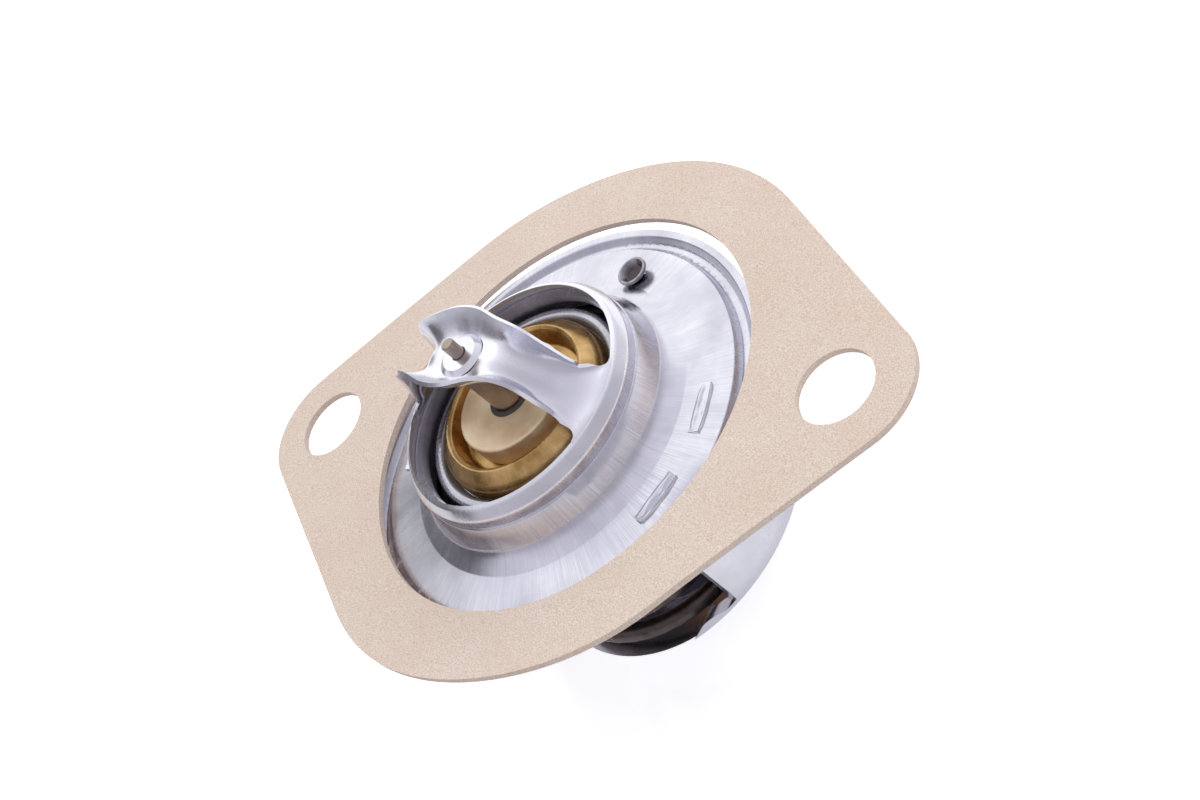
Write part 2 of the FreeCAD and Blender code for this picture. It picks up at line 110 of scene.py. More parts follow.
def close_material(tree, shader):
    """Link the finished shader to the material's output."""
    add_node(tree, "ShaderNodeOutputMaterial", {"Surface": shader.outputs[0]})


print("white is", linear("#ffffff"), "mid grey is", linear("#808080"))

# %% [markdown]
# ## Camera
# The photograph was taken from above one bolt hole, with the thermostat lying on its side, so
# the camera is rolled by about fifty degrees. A camera could be placed by hand, but this one is
# built from its place, the point it looks at, its roll and its lens, because each of those four
# can be read and changed by itself.

# %% Place the camera
camera_place = Vector((162.55, -94.00, 149.02)) * mm
camera_aim = Vector((3.12, 5.02, -1.74)) * mm
camera_roll = math.radians(-49.88)
camera_lens = 64.65
sensor_width = 36.0
nearest_seen = 5 * mm

camera = bpy.data.objects.new("camera", bpy.data.cameras.new("camera"))
bpy.context.collection.objects.link(camera)
bpy.context.scene.camera = camera
camera.data.lens = camera_lens
camera.data.sensor_width = sensor_width
camera.data.clip_start = nearest_seen
look = (camera_aim - camera_place).normalized()
level = look.to_track_quat("-Z", "Y").to_matrix().to_4x4()
camera.matrix_world = Matrix.Translation(camera_place) @ level @ Matrix.Rotation(camera_roll, 4, "Z")
print("camera stands %.0f mm away" % ((camera_place - camera_aim).length / mm))

# %% [markdown]
# ## Colour management
# Blender's usual view transform bends colours the way film does. Standard shows them as they
# are written, so a finish can be compared with its hex value.

# %% View transform
bpy.context.scene.view_settings.view_transform = "Standard"
print("view transform:", bpy.context.scene.view_settings.view_transform)

# %% [markdown]
# ## White tent
# The object stands in a white tent. The white comes from the world, seen by the camera and by
# mirror rays, so metal shows it too, but it adds little light to the object. A room with walls
# would do the same with more work. Steel looks like steel only when it has something darker to
# reflect, so the cloth brightens towards the far side and is dim on one low side.

# %% The white tent
bright_way = Vector((-0.56, 0.66, 0.50)).normalized()
dim_way = Vector((-0.98, -0.20, 0.0)).normalized()
dim_starts, dim_ends = 0.70, 0.86
tent_tones = ((0.00, "#a2a0a6"), (0.50, "#b4b2b9"), (0.76, "#d4d2d9"), (0.88, "#e4e2e9"),
              (0.92, "#ffffff"), (1.00, "#ffffff"))
tent_strength = 1.22
dim_tone = 0.28
tent_light = 0.46

world = bpy.data.worlds.new("white tent")
bpy.context.scene.world = world
world.use_nodes = True
tree = world.node_tree
tree.nodes.clear()
path = add_node(tree, "ShaderNodeLightPath")
direction = add_node(tree, "ShaderNodeTexCoord").outputs["Generated"]
bright = add_node(tree, "ShaderNodeVectorMath", {0: direction, 1: bright_way}, operation="DOT_PRODUCT")
share = add_node(tree, "ShaderNodeMapRange", {"Value": bright.outputs["Value"], "From Min": -1.0,
                 "From Max": 1.0})
cloth = add_node(tree, "ShaderNodeValToRGB", {"Fac": share.outputs["Result"]})
bands = cloth.color_ramp.elements
while len(bands) < len(tent_tones):
    bands.new(0.5)
for band, (place, code) in zip(bands, tent_tones):
    band.position = place
    band.color = linear(code)
low_side = add_node(tree, "ShaderNodeVectorMath", {0: direction, 1: dim_way}, operation="DOT_PRODUCT")
dimming = add_node(tree, "ShaderNodeMapRange", {"Value": low_side.outputs["Value"], "From Min": dim_starts,
                   "From Max": dim_ends, "To Min": tent_strength, "To Max": dim_tone},
                   interpolation_type="SMOOTHSTEP")
mirrored = add_node(tree, "ShaderNodeVectorMath", {0: cloth.outputs["Color"],
                    "Scale": dimming.outputs["Result"]}, operation="SCALE")
seen = add_node(tree, "ShaderNodeMath", {0: path.outputs["Is Camera Ray"],
                1: path.outputs["Is Transmission Ray"]}, operation="MAXIMUM")
lit = add_node(tree, "ShaderNodeMix", {"Factor": path.outputs["Is Glossy Ray"],
               "A": linear("#ffffff", tent_light), "B": mirrored.outputs[0]}, data_type="RGBA")
tone = add_node(tree, "ShaderNodeMix", {"Factor": seen.outputs[0], "A": lit.outputs["Result"],
                "B": linear("#ffffff")}, data_type="RGBA")
background = add_node(tree, "ShaderNodeBackground", {"Color": tone.outputs["Result"], "Strength": 1.0})
add_node(tree, "ShaderNodeOutputWorld", {"Surface": background.outputs[0]})
print("tent tones:", len(tent_tones))

# %% [markdown]
# ## Soft boxes
# Three large lamps light the object softly from above, from the far side and from the right.
# One lamp would leave the near faces dull. Mirror rays don't see the lamps, because a lamp is
# added to the tent behind it and would burn the polished steel out to a flat white.

# %% Three soft boxes
def softbox(name, place, size, power):
    """A rectangular area lamp that points from its place to the object."""
    lamp = bpy.data.lights.new(name, "AREA")
    lamp.shape = "RECTANGLE"
    lamp.size, lamp.size_y = size
    lamp.energy = power
    holder = bpy.data.objects.new(name, lamp)
    bpy.context.collection.objects.link(holder)
    turn = (-Vector(place)).to_track_quat("-Z", "Y").to_matrix().to_4x4()
    holder.matrix_world = Matrix.Translation(place) @ turn
    holder.visible_glossy = False


softbox("overhead box", (0.08, 0.18, 0.80), (1.30, 1.30), 5.0)
softbox("far side box", (0.10, 0.75, 0.30), (0.90, 0.50), 1.3)
softbox("right side box", (0.70, 0.10, 0.10), (0.40, 0.50), 0.5)
print("three boxes hung")

# %% [markdown]
# ## Table
# The table is one pale gloss plane. Its glow lifts it to white for the camera while it keeps
# the object's shadow, and mirror rays see less of that glow. More lamps would whiten it as
# well, but they would also burn out the object. Its underside is clear, to show the object
# from below.

# %% A gloss table
table_level = cad_box[0][2] - 0.05 * mm
table_size = 4.0
table_glow = 0.62
mirrored_glow = 0.25

mesh = bpy.data.meshes.new("table")
table = bpy.data.objects.new("table", mesh)
bpy.context.collection.objects.link(table)
shape = bmesh.new()
bmesh.ops.create_grid(shape, x_segments=1, y_segments=1, size=table_size / 2)
bmesh.ops.translate(shape, verts=shape.verts, vec=(0, 0, table_level))
shape.to_mesh(mesh)
shape.free()

material, tree = new_material("white gloss acrylic table")
path = add_node(tree, "ShaderNodeLightPath")
straight = add_node(tree, "ShaderNodeMath", {0: path.outputs["Is Camera Ray"], 1: table_glow},
                    operation="MULTIPLY")
glow = add_node(tree, "ShaderNodeMath", {0: path.outputs["Is Glossy Ray"], 1: mirrored_glow,
                2: straight.outputs[0]}, operation="MULTIPLY_ADD")
acrylic = add_node(tree, "ShaderNodeBsdfPrincipled", {"Base Color": linear("#f4f4f8"), "Roughness": 0.06,
                   "Emission Color": linear("#ffffff"), "Emission Strength": glow.outputs[0]})
under = add_node(tree, "ShaderNodeNewGeometry").outputs["Backfacing"]
from_below = add_node(tree, "ShaderNodeMath", {0: under, 1: path.outputs["Is Camera Ray"]},
                      operation="MULTIPLY")
clear = add_node(tree, "ShaderNodeBsdfTransparent")
close_material(tree, add_node(tree, "ShaderNodeMixShader", {0: from_below.outputs[0],
                                                            1: acrylic.outputs[0], 2: clear.outputs[0]}))
mesh.materials.append(material)
print("table at %.1f mm" % (table_level / mm))

# %% [markdown]
# ## Smooth shading for the CAD solids
# A solid arrives as small flat triangles. On polished steel those would flash like a cut gem.
# Editing the mesh is one way, but the CAD mesh must stay as it is, so a modifier joins the
# triangles and shades them smooth, except across edges sharper than a set angle.

# %% Smooth the nodes with one shared modifier
sharp_angle = math.radians(28)
join_distance = 0.002 * mm

group = bpy.data.node_groups.new("smooth by angle", "GeometryNodeTree")
group.interface.new_socket("Geometry", in_out="INPUT", socket_type="NodeSocketGeometry")
group.interface.new_socket("Geometry", in_out="OUTPUT", socket_type="NodeSocketGeometry")
inlet = add_node(group, "NodeGroupInput")
joined = add_node(group, "GeometryNodeMergeByDistance", {"Geometry": inlet.outputs[0],
                  "Distance": join_distance})
angle = add_node(group, "GeometryNodeInputMeshEdgeAngle")
sharp = add_node(group, "FunctionNodeCompare", {0: angle.outputs["Unsigned Angle"], 1: sharp_angle},
                 data_type="FLOAT", operation="GREATER_THAN")
smooth = add_node(group, "GeometryNodeSetShadeSmooth", {"Geometry": joined.outputs[0],
                  "Shade Smooth": True}, domain="FACE")
creased = add_node(group, "GeometryNodeSetShadeSmooth", {"Geometry": smooth.outputs[0],
                   "Selection": sharp.outputs[0], "Shade Smooth": False}, domain="EDGE")
add_node(group, "NodeGroupOutput", {0: creased.outputs[0]})

for node in nodes.values():
    modifier = node.modifiers.new("smooth by angle", "NODES")
    modifier.node_group = group
print("smoothed", len(nodes), "nodes")

# %% [markdown]
# ## Patterns that follow the axis
# Pressed and turned parts carry marks that follow their axis. A turned face has fine rings, a
# polished flange has fine lines that run outwards. Both are noise, stretched along the right
# direction: rings come from noise over the radius, and radial lines from noise over a point's
# direction from the axis, which has no seam.

# %% Rings and rays
def axis_parts(tree, centre=(0, 0, 0)):
    """Outputs of the direction from the axis, the distance from it, and the height."""
    place = add_node(tree, "ShaderNodeTexCoord")
    moved = add_node(tree, "ShaderNodeVectorMath", {0: place.outputs["Object"], 1: centre},
                     operation="SUBTRACT")
    flat = add_node(tree, "ShaderNodeVectorMath", {0: moved.outputs[0], 1: (1, 1, 0)}, operation="MULTIPLY")
    radius = add_node(tree, "ShaderNodeVectorMath", {0: flat.outputs[0]}, operation="LENGTH")
    way = add_node(tree, "ShaderNodeVectorMath", {0: flat.outputs[0]}, operation="NORMALIZE")
    parts = add_node(tree, "ShaderNodeSeparateXYZ", {0: moved.outputs[0]})
    return way.outputs[0], radius.outputs["Value"], parts.outputs["Z"]


def ring_noise(tree, spacing):
    """Fine rings round the axis, spacing metres apart, like a lathe tool leaves."""
    way, radius, height = axis_parts(tree)
    rings = add_node(tree, "ShaderNodeMath", {0: radius, 1: 1 / spacing}, operation="MULTIPLY")
    drops = add_node(tree, "ShaderNodeMath", {0: height, 1: 1 / spacing}, operation="MULTIPLY")
    drift = add_node(tree, "ShaderNodeVectorMath", {0: way, "Scale": 0.35}, operation="SCALE")
    split = add_node(tree, "ShaderNodeSeparateXYZ", {0: drift.outputs[0]})
    line = add_node(tree, "ShaderNodeMath", {0: rings.outputs[0], 1: drops.outputs[0]}, operation="ADD")
    spot = add_node(tree, "ShaderNodeCombineXYZ", {0: split.outputs["X"], 1: split.outputs["Y"],
                    2: line.outputs[0]})
    return add_node(tree, "ShaderNodeTexNoise", {"Vector": spot.outputs[0], "Scale": 1.0, "Detail": 4.0,
                    "Roughness": 0.6}).outputs[0]


def ray_noise(tree, spacing, reach, at_radius, detail=3.0):
    """Fine lines that run outwards, spacing metres apart at one radius and reach metres long."""
    way, radius, height = axis_parts(tree)
    turns = add_node(tree, "ShaderNodeVectorMath", {0: way, "Scale": at_radius / spacing}, operation="SCALE")
    far = add_node(tree, "ShaderNodeMath", {0: radius, 1: height}, operation="SUBTRACT")
    along = add_node(tree, "ShaderNodeMath", {0: far.outputs[0], 1: 1 / reach}, operation="MULTIPLY")
    lift = add_node(tree, "ShaderNodeCombineXYZ", {2: along.outputs[0]})
    spot = add_node(tree, "ShaderNodeVectorMath", {0: turns.outputs[0], 1: lift.outputs[0]}, operation="ADD")
    return add_node(tree, "ShaderNodeTexNoise", {"Vector": spot.outputs[0], "Scale": 1.0, "Detail": detail,
                    "Roughness": 0.6}).outputs[0]


print("rings and rays ready")

# %% [markdown]
# ## Clouds, specks and layers
# Every surface also varies in ways that have no direction: hazy clouds from handling, and a few
# scattered specks. They could be painted by hand, but noise in Object coordinates lies on every
# side of a piece without a seam. A finish then lays its marks on each other, as colours that
# cover a share of the one below and as heights that add up.

# %% Clouds, specks and layers
noise_range = {1: 0.3, 2: 0.7}  # From Min and From Max; nearly all values of a noise lie between


def blotches(tree, size, detail=3.0):
    """Soft cloudy variation, size metres across."""
    place = add_node(tree, "ShaderNodeTexCoord")
    return add_node(tree, "ShaderNodeTexNoise", {"Vector": place.outputs["Object"], "Scale": 1 / size,
                    "Detail": detail, "Roughness": 0.55}).outputs[0]


def specks(tree, spacing, size, share):
    """One where a scattered speck lies and nought elsewhere; share is how many cells have one."""
    place = add_node(tree, "ShaderNodeTexCoord")
    cells = add_node(tree, "ShaderNodeTexVoronoi", {"Vector": place.outputs["Object"],
                     "Scale": 1 / spacing, "Randomness": 1.0})
    near = add_node(tree, "ShaderNodeMapRange", {0: cells.outputs["Distance"], 1: size / spacing,
                    2: 0.5 * size / spacing})
    lucky = add_node(tree, "ShaderNodeSeparateColor", {0: cells.outputs["Color"]})
    chosen = add_node(tree, "ShaderNodeMath", {0: lucky.outputs[0], 1: share}, operation="LESS_THAN")
    return add_node(tree, "ShaderNodeMath", {0: near.outputs["Result"], 1: chosen.outputs[0]},
                    operation="MULTIPLY").outputs[0]


def painted(tree, base, layers):
    """Lay colours over the base one by one; each layer is how much it covers and its hex code."""
    colour = linear(base)
    for share, code in layers:
        colour = add_node(tree, "ShaderNodeMix", {"Factor": share, "A": colour, "B": linear(code)},
                          data_type="RGBA").outputs["Result"]
    return colour


def relief(tree, layers):
    """Add heights up into one normal; each layer is a noise and its depth in metres."""
    inputs = {"Strength": 1.0}
    for height, depth in layers:
        bump = add_node(tree, "ShaderNodeBump", {**inputs, "Height": height, "Distance": depth})
        inputs["Normal"] = bump.outputs[0]
    return inputs["Normal"]


print("layers ready")

# %% [markdown]
# ## Stainless steel
# Stainless sheet is a pale, faintly blue mirror under a fine haze. Pressing leaves it glossy,
# and the final brush leaves lines across it, which pull every highlight out sideways. Bump alone
# needs many samples to do that, so the shader's own anisotropy does most of it, turned along the
# brush lines, and a very small bump only breaks it up into the separate lines that show close to.
# Real brush lines are some 0.03 mm apart, too fine to show here, so they are drawn at 0.12 to
# 0.16 mm. Walls that face the axis are hazier, because no brush reaches them.

# %% Recipe for steel
cloud_size = 7 * mm
pit_spacing, pit_size, pitted_share = 2.6 * mm, 0.07 * mm, 0.35
skin_grain, skin_depth = 0.35 * mm, 0.0006 * mm
line_depth, ring_depth = 0.0006 * mm, 0.0008 * mm
sheen_fan_reach = 12 * mm
inner_haze = 0.30


def faces_inwards(tree):
    """One on walls that face the axis, nought on all others."""
    way = axis_parts(tree)[0]
    surface = add_node(tree, "ShaderNodeNewGeometry")
    turn = add_node(tree, "ShaderNodeVectorMath", {0: surface.outputs["True Normal"], 1: way},
                    operation="DOT_PRODUCT")
    return add_node(tree, "ShaderNodeMapRange", {0: turn.outputs["Value"], 1: -0.4, 2: -0.8}).outputs[0]


def stainless(name, dark, light, rough, rays=None, rings=None, sheen_fans=None, stretch=0.0, pits="#6a6a72"):
    """Sheet steel; rays are (spacing, reach, radius), rings and the fan sectors each a spacing, all in metres.
    The fan sectors vary the haze, and their darker share of colour is painted shade between highlights.
    """
    material, tree = new_material(name)
    cloud = blotches(tree, cloud_size)
    share = add_node(tree, "ShaderNodeMapRange", {0: cloud, **noise_range}).outputs[0]
    colours = [(share, light), (specks(tree, pit_spacing, pit_size, pitted_share), pits)]
    heights = [(blotches(tree, skin_grain, detail=4.0), skin_depth)]
    streaks = []
    if rays:
        lines = ray_noise(tree, *rays)
        heights.append((lines, line_depth))
        streaks.append({0: lines, 3: -0.07, 4: 0.09})
        share = add_node(tree, "ShaderNodeMapRange", {0: lines, **noise_range, 4: 0.40}).outputs[0]
        colours.append((share, dark))
    if sheen_fans:
        sheen_fan_noise = ray_noise(tree, sheen_fans, sheen_fan_reach, rays[2], detail=5.0)
        streaks.append({0: sheen_fan_noise, 3: -0.05, 4: 0.06})
        # Broad fan sectors: real variation in haze, and a darker share of colour that is painted shade between
        # highlights.
        share = add_node(tree, "ShaderNodeMapRange", {0: sheen_fan_noise, 1: 0.35, 2: 0.60, 3: 0.30, 4: 0.0}).outputs[0]
        colours.append((share, dark))
    if rings:
        lines = ring_noise(tree, rings)
        heights.append((lines, ring_depth))
        share = add_node(tree, "ShaderNodeMapRange", {0: lines, **noise_range, 4: 0.16}).outputs[0]
        colours.append((share, dark))
    haze = add_node(tree, "ShaderNodeMapRange", {0: cloud, **noise_range, 3: rough[0], 4: rough[1]}).outputs[0]
    haze = add_node(tree, "ShaderNodeMath", {0: faces_inwards(tree), 1: inner_haze, 2: haze},
                    operation="MULTIPLY_ADD").outputs[0]
    for streak in streaks:
        change = add_node(tree, "ShaderNodeMapRange", {**noise_range, **streak}).outputs[0]
        haze = add_node(tree, "ShaderNodeMath", {0: haze, 1: change}, operation="ADD",
                        use_clamp=True).outputs[0]
    inputs = {"Base Color": painted(tree, dark, colours), "Metallic": 1.0, "Roughness": haze,
              "Normal": relief(tree, heights)}
    if stretch:
        inputs["Anisotropic"] = stretch
        inputs["Tangent"] = axis_parts(tree)[0]
    close_material(tree, add_node(tree, "ShaderNodeBsdfPrincipled", inputs))
    return material


print("steel recipe ready")

# %% The steels
# A bright mirror whose highlights fan out from the axis, with faint press rings; broad darker sectors in its
# colour are painted shade between the highlights.
flange_steel = stainless("pressed stainless sheet, brushed outwards", "#c4c4d0", "#f2f2fb", (0.15, 0.24),
                         rays=(0.16 * mm, 9 * mm, 20 * mm), rings=0.9 * mm, stretch=0.45, sheen_fans=1.6 * mm)
# The brightest sheet, soft and nearly white where it turns upwards; broad darker sectors in its colour are
# painted shade between its highlights.
bridge_steel = stainless("stainless sheet, satin", "#e2e2ec", "#f9f9ff", (0.15, 0.25),
                         rays=(0.14 * mm, 7 * mm, 14 * mm), stretch=0.25, sheen_fans=2.2 * mm)
# Even and milky, with only the faint rings of the drawing die.
frame_steel = stainless("deep drawn stainless sheet", "#d2d3de", "#f0f0fa", (0.20, 0.30), rings=1.2 * mm)
# A little greyer, as plain steel is.
plate_steel = stainless("pressed steel disc, satin", "#a6a6b0", "#d2d2dc", (0.20, 0.30),
                        rays=(0.12 * mm, 5 * mm, 13 * mm), rings=0.6 * mm, stretch=0.3)
# Dull and warm, with grinding rings.
piston_steel = stainless("ground rod, brown with heat", "#988a80", "#c4b6aa", (0.28, 0.42), rings=0.15 * mm)
# Bright bruises with dark dents.
pad_steel = stainless("steel bruised by a punch", "#b9b9c4", "#f0f0f8", (0.20, 0.34), pits="#8a8a92")
print("steels ready")

# %% [markdown]
# ## Vent pin
# The pin's head is a shallow turned cup whose hollow lies in shade, so the eye sees a bright rim
# round a dark middle; that shade is painted into the colour. A mask could be painted, but the
# distance from the pin's own axis gives the same without a picture.

# %% Turned pin with painted shade in its cup
low, high = (Vector(corner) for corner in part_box("vent_pin"))
head_r = (high.x - low.x) / 2
pin_clouds = 0.7 * mm
pin_grain_depth = 0.002 * mm

material, tree = new_material("turned steel pin, painted shade in its cup")
radius = axis_parts(tree, centre=(low + high) / 2)[1]
cloud = blotches(tree, pin_clouds, detail=4.0)
share = add_node(tree, "ShaderNodeMapRange", {0: cloud, **noise_range}).outputs[0]
# Painted shade: the colour darkens towards the pin's axis, where the cup's hollow lies in shade.
painted_cup_shade = add_node(tree, "ShaderNodeMapRange", {0: radius, 1: 0.50 * head_r, 2: 0.78 * head_r, 3: 0.9,
                  4: 0.0}).outputs[0]
haze = add_node(tree, "ShaderNodeMapRange", {0: cloud, **noise_range, 3: 0.22, 4: 0.38}).outputs[0]
shader = add_node(tree, "ShaderNodeBsdfPrincipled", {
    "Base Color": painted(tree, "#86828a", [(share, "#b6b3ba"), (painted_cup_shade, "#38302c")]),
    "Metallic": 1.0, "Roughness": haze, "Normal": relief(tree, [(cloud, pin_grain_depth)])})
close_material(tree, shader)
pin_steel = material
print("vent head is %.2f mm across" % (2 * head_r / mm))

# %% [markdown]
# ## Brass
# Turned brass is yellow, but this hub has gone slightly brown and dull on its outside. The cup
# behind it is more orange and the guide's face more bronze. Each is the same recipe with its own
# two colours, and with rings as fine as the lathe left them. A picture of brass would show one
# lamp's highlights for ever; these come from the scene's own lamps.

# %% Recipe for brass
tarnish_size = 2.4 * mm


def brass(name, dark, light, rough, spacing, depth, rays=None, stretch=0.0, metal=1.0):
    """Turned copper alloy with tool rings, brush lines and dull patches."""
    material, tree = new_material(name)
    cloud = blotches(tree, tarnish_size, detail=5.0)
    rings = ring_noise(tree, spacing)
    share = add_node(tree, "ShaderNodeMapRange", {0: cloud, **noise_range}).outputs[0]
    grooves = add_node(tree, "ShaderNodeMapRange", {0: rings, **noise_range, 4: 0.25}).outputs[0]
    colours = [(share, light), (grooves, dark)]
    heights = [(rings, depth)]
    if rays:
        lines = ray_noise(tree, *rays)
        heights.append((lines, depth))
        share = add_node(tree, "ShaderNodeMapRange", {0: lines, **noise_range, 4: 0.35}).outputs[0]
        colours.append((share, dark))
    haze = add_node(tree, "ShaderNodeMapRange", {0: cloud, **noise_range, 3: rough[0], 4: rough[1]}).outputs[0]
    inputs = {"Base Color": painted(tree, dark, colours), "Metallic": metal, "Roughness": haze,
              "Normal": relief(tree, heights)}
    if stretch:
        inputs["Anisotropic"] = stretch
        inputs["Tangent"] = axis_parts(tree)[0]
    close_material(tree, add_node(tree, "ShaderNodeBsdfPrincipled", inputs))
    return material


print("brass recipe ready")

# %% The brasses
# Golden, with streaked highlights across its rounded rim.
hub_brass = brass("turned brass, dulled", "#a8834a", "#f0cc92", (0.22, 0.36), 0.5 * mm, 0.0012 * mm,
                  rays=(0.16 * mm, 5 * mm, 10 * mm), stretch=0.45)
# Deep orange in the shade of the hub.
cup_brass = brass("drawn brass cup", "#b8701f", "#dc9840", (0.24, 0.38), 0.4 * mm, 0.001 * mm)
# A pale, dull face: its film of oxide scatters light, so it is only partly metallic.
guide_brass = brass("faced bronze", "#efcfa4", "#fff0d4", (0.36, 0.50), 0.22 * mm, 0.0012 * mm, metal=0.6)
print("brasses ready")

# %% [markdown]
# ## Rubber and wax
# Moulded rubber is nearly black, with a soft, wide highlight and a fine grain from its mould.
# The lip round the piston is greyer, where it wears. The wax holds copper powder. One recipe
# with a fine noise does for all of them, because none has a direction.

# %% Moulded finishes
grain_depth = 0.004 * mm


def moulded(name, dark, light, rough, grain):
    """A dull moulded surface with fine grain."""
    material, tree = new_material(name)
    cloud = blotches(tree, grain, detail=5.0)
    share = add_node(tree, "ShaderNodeMapRange", {0: cloud, **noise_range}).outputs[0]
    haze = add_node(tree, "ShaderNodeMapRange", {0: cloud, **noise_range, 3: rough[0], 4: rough[1]}).outputs[0]
    shader = add_node(tree, "ShaderNodeBsdfPrincipled", {
        "Base Color": painted(tree, dark, [(share, light)]), "Roughness": haze,
        "Normal": relief(tree, [(cloud, grain_depth)])})
    close_material(tree, shader)
    return material


seal_rubber = moulded("moulded nitrile rubber", "#141414", "#26262a", (0.35, 0.5), 0.4 * mm)
boot_rubber = moulded("moulded sleeve rubber", "#101010", "#202022", (0.45, 0.6), 0.5 * mm)
lip_rubber = moulded("moulded lip rubber, dusted with wear", "#35302e", "#57504b", (0.40, 0.55), 0.3 * mm)
copper_wax = moulded("wax filled with copper powder", "#7a4a26", "#9c6638", (0.5, 0.7), 0.3 * mm)
print("moulded finishes ready")

# %% [markdown]
# ## Spring wire
# Drawn wire keeps the dark brown skin of its heat treatment and a film of oil, so it is nearly
# black with a thin bright highlight along each coil. The skin is a metal with clouds of haze,
# and a light coat stands for the oil.

# %% Drawn wire with a film of oil
skin_clouds = 1.5 * mm
wire_grain_depth = 0.001 * mm

spring_wire, tree = new_material("drawn spring wire, oiled")
cloud = blotches(tree, skin_clouds, detail=5.0)
share = add_node(tree, "ShaderNodeMapRange", {0: cloud, **noise_range}).outputs[0]
haze = add_node(tree, "ShaderNodeMapRange", {0: cloud, **noise_range, 3: 0.26, 4: 0.40}).outputs[0]
shader = add_node(tree, "ShaderNodeBsdfPrincipled", {
    "Base Color": painted(tree, "#403836", [(share, "#665a56")]), "Metallic": 0.85, "Roughness": haze,
    "Coat Weight": 0.3, "Coat Roughness": 0.15, "Normal": relief(tree, [(cloud, wire_grain_depth)])})
close_material(tree, shader)
print("wire ready")

# %% [markdown]
# ## Gasket paper
# Gasket paper is pressed from short fibres. It is tan, quite even from afar, with faint clouds,
# fine fibres lying every way, and a few dark specks. Fibres are drawn as three stretched noises
# turned against each other, the grain as one fine noise, and specks as scattered cell centres.
# Real fibres are about 0.03 mm thick, so they are drawn three times as thick, to show.

# %% Pressed paper
fibre_width, fibre_length = 0.10 * mm, 0.8 * mm
fibre_turns = (0.3, 1.35, 2.4)
fibre_depth = 0.022 * mm
paper_clouds, paper_grain = 9 * mm, 0.15 * mm
swell_size, swell_depth = 1.2 * mm, 0.02 * mm

gasket_paper, tree = new_material("pressed gasket paper")
place = add_node(tree, "ShaderNodeTexCoord").outputs["Object"]
fibres = None
for turn in fibre_turns:
    lay = add_node(tree, "ShaderNodeMapping", {"Vector": place, "Rotation": (0, 0, turn),
                   "Scale": (1 / fibre_length, 1 / fibre_width, 1 / fibre_width)})
    strand = add_node(tree, "ShaderNodeTexNoise", {"Vector": lay.outputs[0], "Scale": 1.0,
                      "Detail": 2.0}).outputs[0]
    if fibres is None:
        fibres = strand
    else:
        fibres = add_node(tree, "ShaderNodeMath", {0: fibres, 1: strand}, operation="MAXIMUM").outputs[0]
clouded = add_node(tree, "ShaderNodeMapRange", {0: blotches(tree, paper_clouds), **noise_range}).outputs[0]
grained = add_node(tree, "ShaderNodeMapRange", {0: blotches(tree, paper_grain, detail=2.0), 1: 0.36,
                   2: 0.60, 3: 0.70, 4: 0.0}).outputs[0]
fibred = add_node(tree, "ShaderNodeMapRange", {0: fibres, 1: 0.58, 2: 0.80, 3: 0.0, 4: 0.50}).outputs[0]
pale = specks(tree, 1.6 * mm, 0.14 * mm, 0.35)
dark = specks(tree, 2.6 * mm, 0.11 * mm, 0.40)
colour = painted(tree, "#edddd1", [(clouded, "#f3e5dc"), (grained, "#cdb19e"), (fibred, "#d2b8a5"),
                                   (pale, "#f8efe8"), (dark, "#94705a")])
normal = relief(tree, [(blotches(tree, swell_size), swell_depth), (fibres, fibre_depth)])
shader = add_node(tree, "ShaderNodeBsdfPrincipled", {"Base Color": colour, "Roughness": 0.9,
                  "Specular IOR Level": 0.2, "Normal": normal})
close_material(tree, shader)
print("paper ready")

# %% [markdown]
# ## Bent gasket
# The flat CAD gasket is right in outline and thickness, but the real one is loose. It leans on
# the flange with its near side up, hangs a little past the rim on the far side, curls at its
# near edge, and one ear droops. A copy of the CAD mesh is cut into a fine grid by planes, so that
# it can bend, and each point then moves up or down by one smooth rule. A cloth simulation would
# take longer and gain nothing on so stiff a sheet.

# %% How the paper bends
paper_lean = 0.034
wave_height = 0.07
far_start, far_hang = 16.0, 0.0022
near_start, near_curl = 22.0, 0.014
ear_start, ear_reach, ear_droop = 24.0, 22.0, 1.1


def paper_offset(x, y):
    """How far the paper lies above its flat place at x, y; all in millimetres."""
    wave = wave_height * math.sin(0.16 * x + 0.5) * math.cos(0.13 * y)
    hang = far_hang * max(0.0, y - far_start) ** 2
    curl = near_curl * max(0.0, -y - near_start) ** 2
    ear = ear_droop * (max(0.0, x - ear_start) / ear_reach) ** 1.5
    return wave - paper_lean * y - hang + curl - ear


print("far edge moves by %.1f mm, near edge by %.1f mm" % (paper_offset(0, 37), paper_offset(0, -31)))

# %% Cut and bend a copy of the gasket
grid_step = 2.0 * mm
cut_edge_angle = math.radians(40)


def finished_piece(name, shape, material):
    """Turn a bmesh into an object with its material that rides on the housing."""
    mesh = bpy.data.meshes.new(name)
    shape.to_mesh(mesh)
    shape.free()
    mesh.materials.clear()
    mesh.materials.append(material)
    piece = bpy.data.objects.new(name, mesh)
    bpy.context.collection.objects.link(piece)
    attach(piece, "housing")
    print("made", name, "with", len(mesh.polygons), "faces")
    return piece


